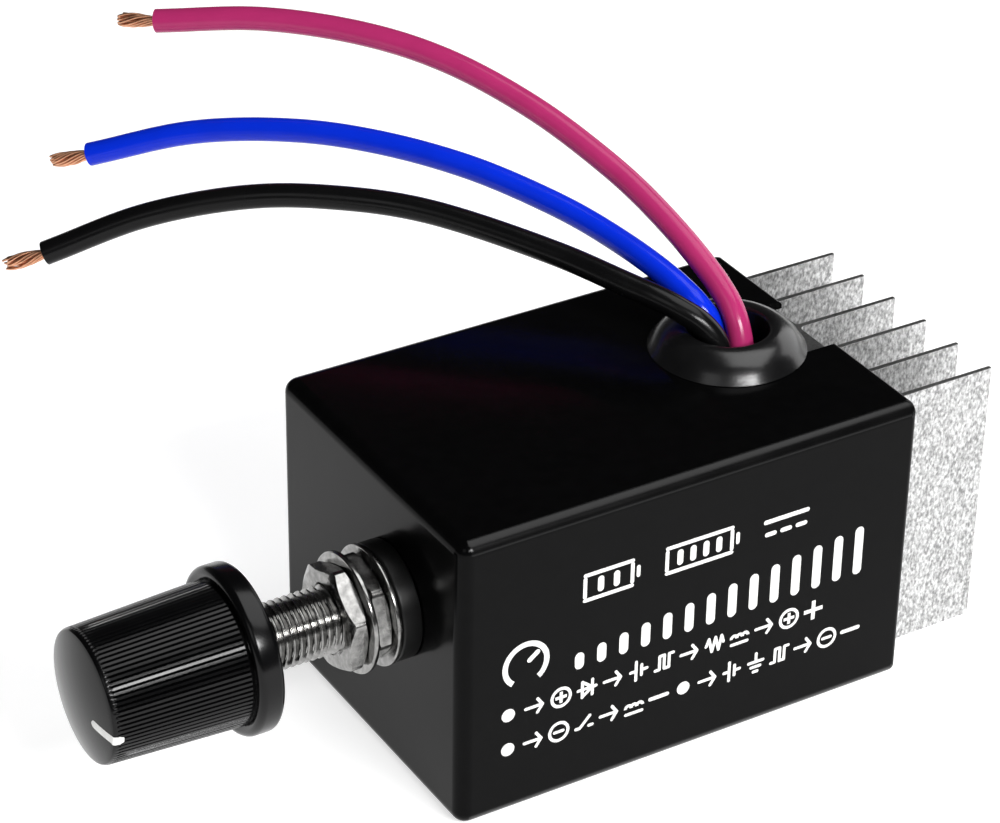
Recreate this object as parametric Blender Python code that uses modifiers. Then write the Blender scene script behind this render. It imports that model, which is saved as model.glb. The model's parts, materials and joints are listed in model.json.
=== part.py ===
"""Electronic speed controller: a knob-operated motor speed control box.

The frame is in metres. +X runs from the knob to the heat sink, +Z is up and the
marked side of the housing faces -Y. The origin is under the middle of the object,
leads left out, on the surface it stands on.
"""
import math

import bmesh
import bpy
from mathutils import Vector

MM = 0.001

# housing
HOUSE_LENGTH = 52.8
HOUSE_WIDTH = 36.2
HOUSE_HEIGHT = 33.0
WALL = 2.0
EDGE_RADIUS = 1.5
HOUSE_FRONT = -15.35
HOUSE_REAR = HOUSE_FRONT + HOUSE_LENGTH
MOUTH_DEPTH = 3.6
MOUTH_LIP = 0.95
RAIL_TOP = 5.9
RAIL_BOTTOM = 3.9
BOSS_Z = 27.9
BOSS_SIZE = 6.4
BOSS_DEPTH = 7.0

# knob, control axis and its hardware; distances run outward from the front face
AXIS_Y = -5.0
AXIS_Z = 19.85
BUSHING_NOSE = 15.0
THREAD_RADIUS = 3.4
PANEL_HOLE_RADIUS = 3.6
SHAFT_RADIUS = 3.0
JOURNAL_RADIUS = 2.4
SPACER_RADIUS = 6.1
SPACER_THICK = 2.2
WASHER_RADIUS = 6.2
WASHER_THICK = 0.55
NUT_FLATS = 10.0
NUT_THICK = 1.9
KNOB_REAR = 16.1
KNOB_RIM = 33.1
KNOB_DOME = 1.0
SKIRT_RADIUS = 8.5
SKIRT_THICK = 2.7
BODY_RADIUS = 7.3
FACE_RADIUS = 6.6
POINTER_ANGLE = 187.5

# potentiometer behind the front wall
CUP_RADIUS = 8.1
CUP_WALL = 0.4
CUP_DEPTH = 5.2
TERMINAL_PITCH = 5.0

# circuit board
BOARD_BOTTOM = 6.0
BOARD_THICK = 1.6
BOARD_TOP = BOARD_BOTTOM + BOARD_THICK
BOARD_FRONT = HOUSE_FRONT + 2.6
BOARD_REAR = HOUSE_REAR - 4.4
BOARD_HALF = 15.5
LEG_RADIUS = 0.3
LEG_HOLE = 0.5

# heat sink
BASE_THICK = 3.0
BASE_HALF = 16.6
BASE_BOTTOM = 1.4
BASE_TOP = 31.8
FIN_COUNT = 6
FIN_PITCH = 5.5
FIN_SHIFT = -0.5
FIN_THICK = 0.6
FIN_REACH = 12.0
BASE_REAR = HOUSE_REAR - 0.4
BASE_FACE = BASE_REAR - BASE_THICK
SINK_END = HOUSE_REAR + FIN_REACH

# power devices on the heat sink
DEVICE_Y = (-6.3, 5.6)
DEVICE_BOTTOM = 8.8
TAB_TOP = DEVICE_BOTTOM + 15.4
TAB_THICK = 1.3
PAD_THICK = 0.3

# grommet in the notch of the top wall
GROMMET_X = 27.1
GROMMET_Y = 0.8
GROMMET_RADIUS = 8.2
GROMMET_NECK = 4.85
GROMMET_BORE = 4.15
GROMMET_RISE = 2.5
NOTCH_HALF = 5.0

# leads
LEAD_RADIUS = 1.3
STRAND_RADIUS = 0.75
STRAND_LENGTH = 4.6
LEAD_ROUTES = {
    "red": ((27.3, -0.9, 8.0), (27.4, -1.4, 20.0), (27.8, -1.4, 29.0), (28.1, -0.2, 33.6),
            (28.2, 1.8, 36.6), (27.5, 6.3, 39.9), (25.6, 14.8, 44.2), (23.5, 20.9, 46.9),
            (20.2, 28.2, 49.9), (15.3, 36.9, 52.6), (9.9, 44.6, 53.8), (2.0, 53.7, 53.8),
            (-6.7, 62.2, 52.1)),
    "blue": ((26.4, 2.3, 8.0), (26.8, 2.0, 20.0), (27.5, 1.7, 29.0), (27.1, 2.2, 33.0),
             (25.6, 3.5, 36.4), (24.2, 8.3, 38.6), (21.2, 17.6, 40.8), (18.1, 23.6, 42.2),
             (13.7, 30.8, 43.5), (8.0, 39.4, 43.9), (2.1, 47.0, 43.4), (-5.9, 55.8, 41.3),
             (-14.7, 63.7, 37.3)),
    "black": ((24.2, -0.7, 8.0), (24.6, -1.1, 20.0), (25.1, -1.2, 30.0), (25.2, -0.7, 33.6),
              (24.1, 0.5, 36.2), (21.8, 3.1, 38.1), (18.9, 7.8, 39.2), (15.0, 15.0, 40.3),
              (6.4, 26.8, 42.0), (-0.2, 33.3, 42.2), (-7.2, 39.3, 41.4), (-16.4, 45.8, 38.6),
              (-25.9, 51.2, 34.0)),
}
LEAD_POINTS = 46

SMALL_STEPS = 20
ROUND_STEPS = 36

for old in list(bpy.data.objects):
    bpy.data.objects.remove(old, do_unlink=True)

PART = bpy.data.collections.new("electronic_speed_controller")
CUTTERS = bpy.data.collections.new("cutters")
bpy.context.scene.collection.children.link(PART)
bpy.context.scene.collection.children.link(CUTTERS)


def material(name, colour, roughness, metallic=0.0):
    """A Principled material with the given surface values."""
    made = bpy.data.materials.new(name)
    made.use_nodes = True
    shader = made.node_tree.nodes["Principled BSDF"]
    shader.inputs["Base Color"].default_value = (*colour, 1.0)
    shader.inputs["Roughness"].default_value = roughness
    shader.inputs["Metallic"].default_value = metallic
    return made


def make_object(name, data, look=None, place=(0.0, 0.0, 0.0)):
    """Link a piece with its own material, or a cutter when it has no look."""
    piece = bpy.data.objects.new(name, data)
    piece.location = Vector(place) * MM
    if look is None:
        CUTTERS.objects.link(piece)
        piece.hide_render = True
        piece.display_type = "WIRE"
    else:
        PART.objects.link(piece)
        data.materials.append(material("mat_" + name, *look))
    return piece


def mesh_from(name, bm):
    """A mesh datablock from a bmesh, which is freed."""
    if bm.calc_volume(signed=True) < 0:
        bmesh.ops.reverse_faces(bm, faces=bm.faces)
    data = bpy.data.meshes.new(name)
    bm.to_mesh(data)
    bm.free()
    return data


def add_box(bm, x, y, z):
    """Add a box spanning the three (low, high) ranges to a bmesh."""
    made = bmesh.ops.create_cube(bm, size=1.0)["verts"]
    for v in made:
        v.co.x = (x[0] if v.co.x < 0 else x[1]) * MM
        v.co.y = (y[0] if v.co.y < 0 else y[1]) * MM
        v.co.z = (z[0] if v.co.z < 0 else z[1]) * MM


def add_rod(bm, axis, centre, low, high, radius, steps=SMALL_STEPS, tip=None):
    """Add a rod along an axis; centre holds the two other coordinates."""
    made = bmesh.ops.create_cone(bm, cap_ends=True, segments=steps, radius1=radius * MM,
                                 radius2=(radius if tip is None else tip) * MM, depth=(high - low) * MM)
    mid = (low + high) / 2
    for v in made["verts"]:
        a, b, c = v.co
        if axis == "x":
            v.co = Vector((c + mid * MM, a + centre[0] * MM, b + centre[1] * MM))
        elif axis == "y":
            v.co = Vector((b + centre[0] * MM, c + mid * MM, a + centre[1] * MM))
        else:
            v.co = Vector((a + centre[0] * MM, b + centre[1] * MM, c + mid * MM))


def box(name, x, y, z, look=None, place=(0.0, 0.0, 0.0)):
    """A box piece or cutter."""
    bm = bmesh.new()
    add_box(bm, x, y, z)
    return make_object(name, mesh_from(name, bm), look, place)


def rod(name, axis, centre, low, high, radius, look=None, steps=SMALL_STEPS):
    """A rod piece or cutter."""
    bm = bmesh.new()
    add_rod(bm, axis, centre, low, high, radius, steps)
    return make_object(name, mesh_from(name, bm), look)


def boolean(piece, cutter, operation="DIFFERENCE"):
    """Cut a piece with a cutter, or join the cutter's shape to it."""
    step = piece.modifiers.new(operation.lower(), "BOOLEAN")
    step.operation = operation
    step.solver = "EXACT"
    step.object = cutter
    return step


def bevel(piece, width, segments=2, weighted=False):
    """Round the edges of a piece."""
    step = piece.modifiers.new("edge", "BEVEL")
    step.width = width * MM
    step.segments = segments
    step.limit_method = "WEIGHT" if weighted else "ANGLE"
    step.angle_limit = math.radians(40)
    return step


def turned(name, profile, look, place, along="x", steps=ROUND_STEPS):
    """A turned piece from (radius, height) points running top to bottom on the outer side.

    Height runs outward from the front of the housing for along x and up for along z.
    """
    bm = bmesh.new()
    verts = [bm.verts.new((r * MM, 0.0, h * MM)) for r, h in profile]
    for a, b in zip(verts, verts[1:]):
        bm.edges.new((a, b))
    if profile[0][0] > 0 and profile[-1][0] > 0:
        bm.edges.new((verts[-1], verts[0]))
    data = bpy.data.meshes.new(name)
    bm.to_mesh(data)
    bm.free()
    piece = make_object(name, data, look, place)
    if along == "x":
        piece.rotation_euler = (0.0, -math.pi / 2, 0.0)
    step = piece.modifiers.new("turn", "SCREW")
    step.steps = steps
    step.render_steps = steps
    step.use_merge_vertices = True
    step.merge_threshold = 0.0001
    step.use_smooth_shade = True
    return piece


def smooth_route(points, count):
    """Evenly spaced points on a smooth curve through the route points."""
    pts = [Vector(p) for p in points]
    ends = [pts[0] * 2 - pts[1]] + pts + [pts[-1] * 2 - pts[-2]]
    dense = []
    for i in range(1, len(ends) - 2):
        p0, p1, p2, p3 = ends[i - 1:i + 3]
        knots = [0.0]
        for a, b in ((p0, p1), (p1, p2), (p2, p3)):
            knots.append(knots[-1] + max((b - a).length, 1e-6) ** 0.5)
        t0, t1, t2, t3 = knots
        for k in range(40):
            t = t1 + (t2 - t1) * k / 40
            a1 = p0 * ((t1 - t) / (t1 - t0)) + p1 * ((t - t0) / (t1 - t0))
            a2 = p1 * ((t2 - t) / (t2 - t1)) + p2 * ((t - t1) / (t2 - t1))
            a3 = p2 * ((t3 - t) / (t3 - t2)) + p3 * ((t - t2) / (t3 - t2))
            b1 = a1 * ((t2 - t) / (t2 - t0)) + a2 * ((t - t0) / (t2 - t0))
            b2 = a2 * ((t3 - t) / (t3 - t1)) + a3 * ((t - t1) / (t3 - t1))
            dense.append(b1 * ((t2 - t) / (t2 - t1)) + b2 * ((t - t1) / (t2 - t1)))
    dense.append(pts[-1])
    lengths = [0.0]
    for a, b in zip(dense, dense[1:]):
        lengths.append(lengths[-1] + (b - a).length)
    picked = []
    j = 0
    for i in range(count):
        want = lengths[-1] * i / (count - 1)
        while j < len(lengths) - 2 and lengths[j + 1] < want:
            j += 1
        span = lengths[j + 1] - lengths[j]
        picked.append(dense[j].lerp(dense[j + 1], (want - lengths[j]) / span))
    return picked


def tube(name, points, radius, look):
    """A round tube along a list of points."""
    data = bpy.data.curves.new(name, "CURVE")
    data.dimensions = "3D"
    data.bevel_depth = radius * MM
    data.bevel_resolution = 2
    data.use_fill_caps = True
    line = data.splines.new("POLY")
    line.points.add(len(points) - 1)
    for slot, p in zip(line.points, points):
        slot.co = (*(Vector(p) * MM), 1.0)
    return make_object(name, data, look)


BLACK_PLASTIC = ((0.012, 0.012, 0.013), 0.22)
SATIN_BLACK = ((0.02, 0.02, 0.022), 0.45)
RUBBER = ((0.03, 0.03, 0.032), 0.55)
NICKEL = ((0.62, 0.61, 0.58), 0.3, 1.0)
ALUMINIUM = ((0.72, 0.73, 0.74), 0.5, 1.0)
STEEL = ((0.5, 0.5, 0.5), 0.35, 1.0)
BRASS = ((0.72, 0.56, 0.3), 0.35, 1.0)
TIN = ((0.7, 0.7, 0.72), 0.35, 1.0)
COPPER = ((0.8, 0.42, 0.25), 0.35, 1.0)
EPOXY = ((0.025, 0.025, 0.028), 0.6)
WHITE = ((0.85, 0.85, 0.83), 0.5)

FRONT = (HOUSE_FRONT, AXIS_Y, AXIS_Z)
SCREW_Y = (FIN_PITCH * -2 + FIN_SHIFT, FIN_PITCH * 2 + FIN_SHIFT)

# housing: a five-walled box with an open rear mouth
bm = bmesh.new()
add_box(bm, (HOUSE_FRONT, HOUSE_REAR), (-HOUSE_WIDTH / 2, HOUSE_WIDTH / 2), (0.0, HOUSE_HEIGHT))
weight = bm.edges.layers.float.new("bevel_weight_edge")
for edge in bm.edges:
    at_rear = all(v.co.x > (HOUSE_REAR - 1) * MM for v in edge.verts)
    edge[weight] = 0.0 if at_rear else 1.0
housing = make_object("housing", mesh_from("housing", bm), BLACK_PLASTIC)
bevel(housing, EDGE_RADIUS, 3, weighted=True)

inner_front = HOUSE_FRONT + WALL
bm = bmesh.new()
inner_half = HOUSE_WIDTH / 2 - WALL
add_box(bm, (inner_front, HOUSE_REAR + 1), (-inner_half, inner_half), (WALL, HOUSE_HEIGHT - WALL))
boolean(housing, make_object("cut_inside", mesh_from("cut_inside", bm)))

mouth_half = HOUSE_WIDTH / 2 - MOUTH_LIP
bm = bmesh.new()
add_box(bm, (HOUSE_REAR - MOUTH_DEPTH, HOUSE_REAR + 1), (-mouth_half, mouth_half),
        (MOUTH_LIP, HOUSE_HEIGHT - MOUTH_LIP))
boolean(housing, make_object("cut_mouth", mesh_from("cut_mouth", bm)))

bm = bmesh.new()
for side in (-1, 1):
    rail = sorted((side * (BOARD_HALF - 1.0), side * (inner_half + 0.6)))
    add_box(bm, (inner_front - 0.6, BOARD_REAR - 2), rail, (RAIL_BOTTOM, RAIL_TOP))
for y in SCREW_Y:
    side = 1 if y > 0 else -1
    reach = sorted((y - side * BOSS_SIZE / 2, side * (inner_half + 0.6)))
    add_box(bm, (BASE_FACE - 0.3 - BOSS_DEPTH, BASE_FACE - 0.3), reach,
            (BOSS_Z - BOSS_SIZE / 2, HOUSE_HEIGHT - WALL + 0.4))
boolean(housing, make_object("add_rails_and_bosses", mesh_from("add_rails_and_bosses", bm)), "UNION")

bm = bmesh.new()
add_rod(bm, "x", (AXIS_Y, AXIS_Z), HOUSE_FRONT - 1, inner_front + 1, PANEL_HOLE_RADIUS, ROUND_STEPS)
for y in SCREW_Y:
    add_rod(bm, "x", (y, BOSS_Z), BASE_FACE - BOSS_DEPTH + 0.9, BASE_FACE + 1, 1.3)
boolean(housing, make_object("cut_holes", mesh_from("cut_holes", bm)))

notch_z = (HOUSE_HEIGHT - WALL - 1, HOUSE_HEIGHT + 1)
bm = bmesh.new()
add_rod(bm, "z", (GROMMET_X, GROMMET_Y), *notch_z, NOTCH_HALF, ROUND_STEPS)
boolean(housing, make_object("cut_notch_end", mesh_from("cut_notch_end", bm)))
boolean(housing, box("cut_notch", (GROMMET_X, HOUSE_REAR + 1),
                     (GROMMET_Y - NOTCH_HALF, GROMMET_Y + NOTCH_HALF), notch_z))

# heat sink: base plate in the mouth with upright fins
bm = bmesh.new()
add_box(bm, (BASE_FACE, BASE_REAR), (-BASE_HALF, BASE_HALF), (BASE_BOTTOM, BASE_TOP))
heat_sink = make_object("heat_sink", mesh_from("heat_sink", bm), ALUMINIUM)
bm = bmesh.new()
for i in range(FIN_COUNT):
    y = (i - (FIN_COUNT - 1) / 2) * FIN_PITCH + FIN_SHIFT
    add_box(bm, (BASE_REAR - 0.5, SINK_END), (y - FIN_THICK / 2, y + FIN_THICK / 2), (BASE_BOTTOM, BASE_TOP))
boolean(heat_sink, make_object("add_fins", mesh_from("add_fins", bm)), "UNION")
bm = bmesh.new()
for y in SCREW_Y:
    add_rod(bm, "x", (y, BOSS_Z), BASE_FACE - 1, BASE_REAR + 1, 1.7)
for y in DEVICE_Y:
    add_rod(bm, "x", (y, TAB_TOP - 2.8), BASE_FACE - 1, BASE_FACE + 2.4, 1.7)
boolean(heat_sink, make_object("cut_sink_holes", mesh_from("cut_sink_holes", bm)))


def screw(name, y, z, seat, direction, shank, radius=1.15, head=(2.1, 1.4)):
    """A pan-head screw along X whose head stands on the seat, its shank going in direction."""
    bm = bmesh.new()
    add_rod(bm, "x", (y, z), *sorted((seat - direction * 0.3, seat + direction * shank)), radius)
    made = make_object(name, mesh_from(name, bm), STEEL)
    bm = bmesh.new()
    add_rod(bm, "x", (y, z), *sorted((seat - direction * head[1], seat)), head[0])
    boolean(made, make_object("head_" + name, mesh_from("head_" + name, bm)), "UNION")
    slot = sorted((seat - direction * (head[1] + 0.5), seat - direction * (head[1] - 0.6)))
    boolean(made, box("slot_" + name, slot, (y - 1.4, y + 1.4), (z - 0.3, z + 0.3)))


screw("heat_sink_screw_left", SCREW_Y[1], BOSS_Z, BASE_REAR + 0.1, -1, 8.4)
screw("heat_sink_screw_right", SCREW_Y[0], BOSS_Z, BASE_REAR + 0.1, -1, 8.4)

# grommet: domed flange, neck in the notch, inner flange
g_top = HOUSE_HEIGHT + 0.1
g_low = HOUSE_HEIGHT - WALL - 0.1
turned("cable_grommet", (
    (GROMMET_BORE + 0.25, g_top + GROMMET_RISE - 0.05),
    (GROMMET_BORE + 0.65, g_top + GROMMET_RISE),
    (GROMMET_RADIUS - 2.5, g_top + 2.2),
    (GROMMET_RADIUS - 1.6, g_top + 1.67),
    (GROMMET_RADIUS - 0.8, g_top + 1.0),
    (GROMMET_RADIUS - 0.2, g_top + 0.35),
    (GROMMET_RADIUS, g_top),
    (GROMMET_NECK, g_top),
    (GROMMET_NECK, g_low),
    (GROMMET_NECK + 1.2, g_low),
    (GROMMET_NECK + 0.9, g_low - 1.1),
    (GROMMET_BORE, g_low - 1.3),
    (GROMMET_BORE, g_top + GROMMET_RISE - 0.4),
), RUBBER, (GROMMET_X, GROMMET_Y, 0.0), along="z", steps=28)

# knob with skirt, domed face, hollow back and blind bore
skirt_front = KNOB_REAR + SKIRT_THICK
dome_radius = (FACE_RADIUS ** 2 + KNOB_DOME ** 2) / (2 * KNOB_DOME)
dome = []
for i in range(7):
    r = FACE_RADIUS * i / 6
    dome.append((r, KNOB_RIM + KNOB_DOME - dome_radius + math.sqrt(dome_radius ** 2 - r * r)))
knob = turned("knob", (
    *dome,
    (FACE_RADIUS + 0.15, KNOB_RIM - 0.35),
    (BODY_RADIUS, skirt_front),
    (SKIRT_RADIUS - 0.7, skirt_front),
    (SKIRT_RADIUS - 0.2, skirt_front - 0.2),
    (SKIRT_RADIUS, skirt_front - 0.7),
    (SKIRT_RADIUS, KNOB_REAR + 0.6),
    (SKIRT_RADIUS - 0.2, KNOB_REAR + 0.15),
    (SKIRT_RADIUS - 0.6, KNOB_REAR),
    (SKIRT_RADIUS - 1.4, KNOB_REAR),
    (SKIRT_RADIUS - 1.9, KNOB_REAR + 4.5),
    (4.7, KNOB_REAR + 4.5),
    (4.7, KNOB_REAR + 0.4),
    (SHAFT_RADIUS + 0.15, KNOB_REAR + 0.4),
    (SHAFT_RADIUS + 0.15, KNOB_RIM - 3.2),
    (0.0, KNOB_RIM - 3.2),
), SATIN_BLACK, FRONT, steps=48)


def pointer_block(name, reach, half, depth, look=None):
    """A radial strip on the knob face, standing on the control axis."""
    bm = bmesh.new()
    ends = []
    for r in reach:
        drop = dome_radius - math.sqrt(dome_radius ** 2 - min(r, FACE_RADIUS) ** 2)
        ends.append((r, KNOB_RIM + KNOB_DOME - drop))
    low = ends[1][1] - depth
    cs, sn = math.cos(math.radians(POINTER_ANGLE)), math.sin(math.radians(POINTER_ANGLE))
    corners = []
    for r, top in ends:
        for side in (-half, half):
            for h in (low, top):
                corners.append(bm.verts.new((-h * MM, (r * cs - side * sn) * MM, (r * sn + side * cs) * MM)))
    a, b, c, d, e, f, g, h = corners
    for face in ((a, b, d, c), (e, f, h, g), (a, b, f, e), (c, d, h, g), (a, c, g, e), (b, d, h, f)):
        bm.faces.new(face)
    bmesh.ops.recalc_face_normals(bm, faces=bm.faces)
    return make_object(name, mesh_from(name, bm), look, FRONT)


boolean(knob, pointer_block("cut_pointer", (3.3, FACE_RADIUS + 1.5), 0.51, 0.7))
pointer_block("knob_pointer", (3.4, FACE_RADIUS - 0.1), 0.45, 0.5, WHITE)

# shaft, retaining ring, rotor
turned("pot_shaft", (
    (0.0, KNOB_RIM - 3.5),
    (SHAFT_RADIUS - 0.4, KNOB_RIM - 3.5),
    (SHAFT_RADIUS, KNOB_RIM - 3.9),
    (SHAFT_RADIUS, BUSHING_NOSE + 0.2),
    (JOURNAL_RADIUS, BUSHING_NOSE + 0.2),
    (JOURNAL_RADIUS, -4.2),
    (1.8, -4.2),
    (1.8, -7.6),
    (0.0, -7.6),
), BRASS, FRONT, steps=24)
turned("pot_shaft_ring", ((1.95, -4.4), (3.4, -4.4), (3.4, -4.8), (1.95, -4.8)), STEEL, FRONT, steps=24)
turned("pot_wiper", ((1.95, -5.0), (6.2, -5.0), (6.2, -6.4), (1.95, -6.4)), WHITE, FRONT, steps=32)

# bushing with its front plate, resistor wafer, cup and terminals
turned("pot_bushing", (
    (JOURNAL_RADIUS + 0.1, BUSHING_NOSE),
    (THREAD_RADIUS - 0.4, BUSHING_NOSE),
    (THREAD_RADIUS, BUSHING_NOSE - 0.4),
    (THREAD_RADIUS, -2.1),
    (CUP_RADIUS, -2.1),
    (CUP_RADIUS, -3.0),
    (JOURNAL_RADIUS + 0.1, -3.0),
), NICKEL, FRONT, steps=32)
wafer = rod("pot_track_board", "x", (AXIS_Y, AXIS_Z), HOUSE_FRONT + 3.1, HOUSE_FRONT + 4.1, 7.4,
            ((0.28, 0.13, 0.05), 0.6), 32)
boolean(wafer, box("add_tab", (HOUSE_FRONT + 3.1, HOUSE_FRONT + 4.1), (AXIS_Y - 6.5, AXIS_Y + 6.5),
                   (AXIS_Z - 10.6, AXIS_Z - 2.0)), "UNION")
boolean(wafer, rod("cut_wafer", "x", (AXIS_Y, AXIS_Z), HOUSE_FRONT, HOUSE_FRONT + 6, 2.7))
cup_rear = -3.2 - CUP_DEPTH
cup = turned("pot_case", (
    (0.0, cup_rear + CUP_WALL),
    (CUP_RADIUS - CUP_WALL, cup_rear + CUP_WALL),
    (CUP_RADIUS - CUP_WALL, -3.2),
    (CUP_RADIUS, -3.2),
    (CUP_RADIUS, cup_rear),
    (0.0, cup_rear),
), STEEL, FRONT, steps=32)
boolean(cup, box("cut_cup_gap", (HOUSE_FRONT + 2.0, HOUSE_FRONT + 4.5), (AXIS_Y - 6.8, AXIS_Y + 6.8),
                 (AXIS_Z - 12.0, AXIS_Z - 2.5)))
terminal_x = (HOUSE_FRONT + 4.3, HOUSE_FRONT + 4.6)
terminal_y = [AXIS_Y + i * TERMINAL_PITCH for i in (-1, 0, 1)]
for i, y in enumerate(terminal_y):
    box("pot_terminal_%d" % (i + 1), terminal_x, (y - 0.5, y + 0.5), (BOARD_BOTTOM - 1.2, AXIS_Z - 8.5), TIN)

# hardware on the bushing, from the housing outward
stack = 0.05
turned("panel_spacer", (
    (THREAD_RADIUS + 0.2, stack + SPACER_THICK),
    (SPACER_RADIUS - 0.3, stack + SPACER_THICK),
    (SPACER_RADIUS, stack + SPACER_THICK - 0.3),
    (SPACER_RADIUS, stack),
    (THREAD_RADIUS + 0.2, stack),
), EPOXY, FRONT, steps=ROUND_STEPS)
stack += SPACER_THICK + 0.05


def washer(name, low):
    """A flat ring on the bushing."""
    high = low + WASHER_THICK
    turned(name, (
        (THREAD_RADIUS + 0.1, high),
        (WASHER_RADIUS - 0.12, high),
        (WASHER_RADIUS, high - 0.12),
        (WASHER_RADIUS, low),
        (THREAD_RADIUS + 0.1, low),
    ), NICKEL, FRONT, steps=ROUND_STEPS)
    return high + 0.05


def nut(name, low, turn):
    """A hexagon nut on the bushing with its outer corners cut back."""
    high = low + NUT_THICK
    corner = NUT_FLATS / math.sqrt(3)
    bm = bmesh.new()
    made = bmesh.ops.create_cone(bm, cap_ends=True, segments=6, radius1=corner * MM, radius2=corner * MM,
                                 depth=NUT_THICK * MM)["verts"]
    cs, sn = math.cos(turn), math.sin(turn)
    for v in made:
        a, b, c = v.co
        v.co = Vector((c - (low + high) / 2 * MM, a * cs - b * sn, a * sn + b * cs))
    piece = make_object(name, mesh_from(name, bm), NICKEL, FRONT)
    trim = NUT_FLATS / 2 + 0.15
    bm = bmesh.new()
    add_rod(bm, "x", (0.0, 0.0), -high - 0.05, -low + 0.05, trim, 30, tip=corner + 0.5)
    boolean(piece, make_object("trim_" + name, mesh_from("trim_" + name, bm), None, FRONT), "INTERSECT")
    boolean(piece, rod("bore_" + name, "x", (AXIS_Y, AXIS_Z), HOUSE_FRONT - high - 1, HOUSE_FRONT - low + 1,
                       THREAD_RADIUS + 0.05, None, 30))
    return high + 0.05


stack = washer("flat_washer_inner", stack)
stack = nut("bushing_nut_inner", stack, math.radians(12))
stack = washer("flat_washer_outer", stack)
stack = nut("bushing_nut_outer", stack, math.radians(40))

# circuit board with its lead-through holes
board_bm = bmesh.new()
add_box(board_bm, (BOARD_FRONT, BOARD_REAR), (-BOARD_HALF, BOARD_HALF), (BOARD_BOTTOM, BOARD_TOP))
board = make_object("circuit_board", mesh_from("circuit_board", board_bm), ((0.05, 0.2, 0.08), 0.45))
board_holes = bmesh.new()


def board_hole(x, y, radius=LEG_HOLE):
    """Add a lead-through hole to the board."""
    add_rod(board_holes, "z", (x, y), BOARD_BOTTOM - 1, BOARD_TOP + 1, radius, 10)


for y in terminal_y:
    board_hole(sum(terminal_x) / 2, y, 0.75)


def legs(piece, name, spots, top, radius=LEG_RADIUS):
    """Join round legs to a piece, each passing through the board."""
    bm = bmesh.new()
    for x, y in spots:
        add_rod(bm, "z", (x, y), BOARD_BOTTOM - 1.2, top, radius, 8)
        board_hole(x, y)
    boolean(piece, make_object("legs_" + name, mesh_from("legs_" + name, bm)), "UNION")


def power_device(name, y):
    """A three-leg power device: a moulded body in front of a drilled metal tab."""
    tab_rear = BASE_FACE - 0.1 - PAD_THICK - 0.1
    tab_front = tab_rear - TAB_THICK
    bm = bmesh.new()
    add_box(bm, (tab_front, tab_rear), (y - 5, y + 5), (DEVICE_BOTTOM, TAB_TOP))
    frame = make_object(name + "_tab", mesh_from(name + "_tab", bm), TIN)
    bm = bmesh.new()
    bar_z = (DEVICE_BOTTOM + 0.4, DEVICE_BOTTOM + 1.2)
    add_box(bm, (tab_front - 1.6, tab_front + 0.3), (y - 3.4, y + 3.4), bar_z)
    boolean(frame, make_object(name + "_bar", mesh_from(name + "_bar", bm)), "UNION")
    bm = bmesh.new()
    for i in (-1, 0, 1):
        low, high = y + i * 2.54 - 0.35, y + i * 2.54 + 0.35
        leg_z = (BOARD_BOTTOM - 1.2, DEVICE_BOTTOM + 0.9)
        add_box(bm, (tab_front - 1.6, tab_front - 1.1), (low, high), leg_z)
        board_hole(tab_front - 1.35, y + i * 2.54, 0.65)
    boolean(frame, make_object(name + "_legs", mesh_from(name + "_legs", bm)), "UNION")
    boolean(frame, rod(name + "_eye", "x", (y, TAB_TOP - 2.8), tab_front - 1, tab_rear + 1, 1.8))
    body = box(name + "_body", (tab_front - 3.2, tab_front - 0.05), (y - 5, y + 5),
               (DEVICE_BOTTOM, DEVICE_BOTTOM + 9.0), EPOXY)
    boolean(body, box(name + "_slot", (tab_front - 1.75, tab_front + 1), (y - 3.55, y + 3.55),
                      (DEVICE_BOTTOM - 1, DEVICE_BOTTOM + 1.35)))
    pad = box(name + "_pad", (tab_rear + 0.1, tab_rear + 0.1 + PAD_THICK), (y - 5.7, y + 5.7),
              (DEVICE_BOTTOM - 0.5, TAB_TOP + 0.5), ((0.75, 0.76, 0.72), 0.7))
    boolean(pad, rod(name + "_pad_eye", "x", (y, TAB_TOP - 2.8), tab_rear - 1, tab_rear + 2, 1.7))
    screw(name + "_screw", y, TAB_TOP - 2.8, tab_front - 0.1, 1, 3.6, radius=1.4, head=(2.6, 1.7))


power_device("transistor", DEVICE_Y[0])
power_device("diode", DEVICE_Y[1])


def capacitor(name, x, y, radius, height, look):
    """A round upright capacitor with two legs."""
    low = BOARD_TOP + 0.2
    made = turned(name, (
        (0.0, low + height),
        (radius - 0.6, low + height),
        (radius, low + height - 0.6),
        (radius, low),
        (0.0, low),
    ), look, (x, y, 0.0), along="z", steps=24)
    bm = bmesh.new()
    for side in (-1, 1):
        add_rod(bm, "z", (side * radius * 0.45, 0.0), BOARD_BOTTOM - 1.2, low + 0.6, LEG_RADIUS, 8)
        board_hole(x + side * radius * 0.45, y)
    boolean(made, make_object("legs_" + name, mesh_from("legs_" + name, bm), None, (x, y, 0.0)), "UNION")


capacitor("supply_capacitor", 13.2, 9.2, 5.0, 15.5, ((0.03, 0.04, 0.09), 0.4))
capacitor("timing_capacitor", 4.4, 12.2, 2.5, 7.0, ((0.03, 0.04, 0.09), 0.4))

chip = box("timer_chip", (3.2, 12.8), (-11.2, -4.8), (BOARD_TOP + 0.6, BOARD_TOP + 3.9), EPOXY)
chip_legs = [(4.19 + 2.54 * i, -8.0 + side * 3.0) for i in range(4) for side in (-1, 1)]
legs(chip, "timer_chip", chip_legs, BOARD_TOP + 1.8)

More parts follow.
